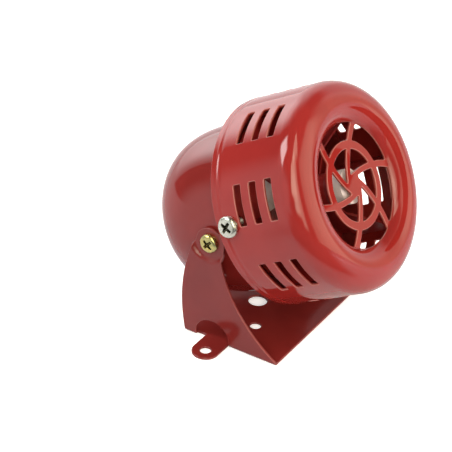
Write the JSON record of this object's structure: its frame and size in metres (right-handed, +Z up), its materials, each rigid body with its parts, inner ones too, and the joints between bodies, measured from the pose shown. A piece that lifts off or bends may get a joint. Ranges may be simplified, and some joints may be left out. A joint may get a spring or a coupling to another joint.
{
  "type": "alarm siren",
  "caption": "Small motor siren: a motor spins a vaned impeller inside a slotted, grilled steel housing that tilts on a U-shaped mounting bracket.",
  "frame": {"origin": "middle of the bracket's underside", "axes": "+Z up out of the mounting surface, -Y towards the horn's mouth, +X along the tilt axis, to the right of a viewer who faces the mouth"},
  "size_m": [0.1028, 0.1094, 0.114],
  "materials": {
    "housing_paint": "gloss red enamel",
    "bracket_paint": "semi-gloss red enamel",
    "plate_paint": "red enamel",
    "impeller_paint": "red enamel",
    "zinc_plated_steel": "bright zinc",
    "yellow_zinc_steel": "yellow passivated zinc",
    "motor_steel": "zinc plated",
    "ferrite": "dark grey",
    "cap_plastic": "ivory",
    "sintered_bronze": "sintered bronze",
    "carbon": "carbon black",
    "brass_strip": "plain brass",
    "spring_steel": "spring steel",
    "grommet_rubber": "black rubber",
    "lead_insulation": "black insulation",
    "ground_steel": "ground steel",
    "laminations": "stacked steel sheets",
    "copper_wire": "enamelled copper",
    "copper_bars": "copper",
    "hub_aluminium": "turned aluminium"
  },
  "bodies": {
    "bracket": {"bracket": "bracket_paint"},
    "siren": {"front_housing": "housing_paint", "motor_plate": "plate_paint", "clinch_nuts": "zinc_plated_steel", "housing_screws": "zinc_plated_steel", "motor_housing": "housing_paint", "motor_housing_screws": "zinc_plated_steel", "pivot_screws": "yellow_zinc_steel", "pivot_nuts": "zinc_plated_steel", "motor_can": "motor_steel", "field_magnets": "ferrite", "motor_end_cap": "cap_plastic", "front_bush": "sintered_bronze", "rear_bush": "sintered_bronze", "brushes": "carbon", "brush_holders": "brass_strip", "brush_springs": "spring_steel", "motor_screws": "zinc_plated_steel", "motor_terminals": "brass_strip", "cable_grommet": "grommet_rubber", "lead_wires": "lead_insulation"},
    "rotor": {"motor_shaft": "ground_steel", "armature_core": "laminations", "armature_windings": "copper_wire", "commutator": "copper_bars", "thrust_washers": "ground_steel", "impeller": "impeller_paint", "impeller_flange": "hub_aluminium", "impeller_hub": "hub_aluminium", "impeller_rivets": "hub_aluminium", "hub_set_screw": "spring_steel"}
  },
  "joints": [
    {"name": "tilt", "type": "hinge", "parent": "bracket", "child": "siren", "pos_m": [0, 0.0111, 0.0504], "axis": [-1, 0, 0], "range_deg": [-25, 60]},
    {"name": "rotor_spin", "type": "hinge", "parent": "siren", "child": "rotor", "pos_m": [0, 0.0111, 0.0504], "axis": [0, -0.8716, 0.4901], "continuous": true}
  ]
}
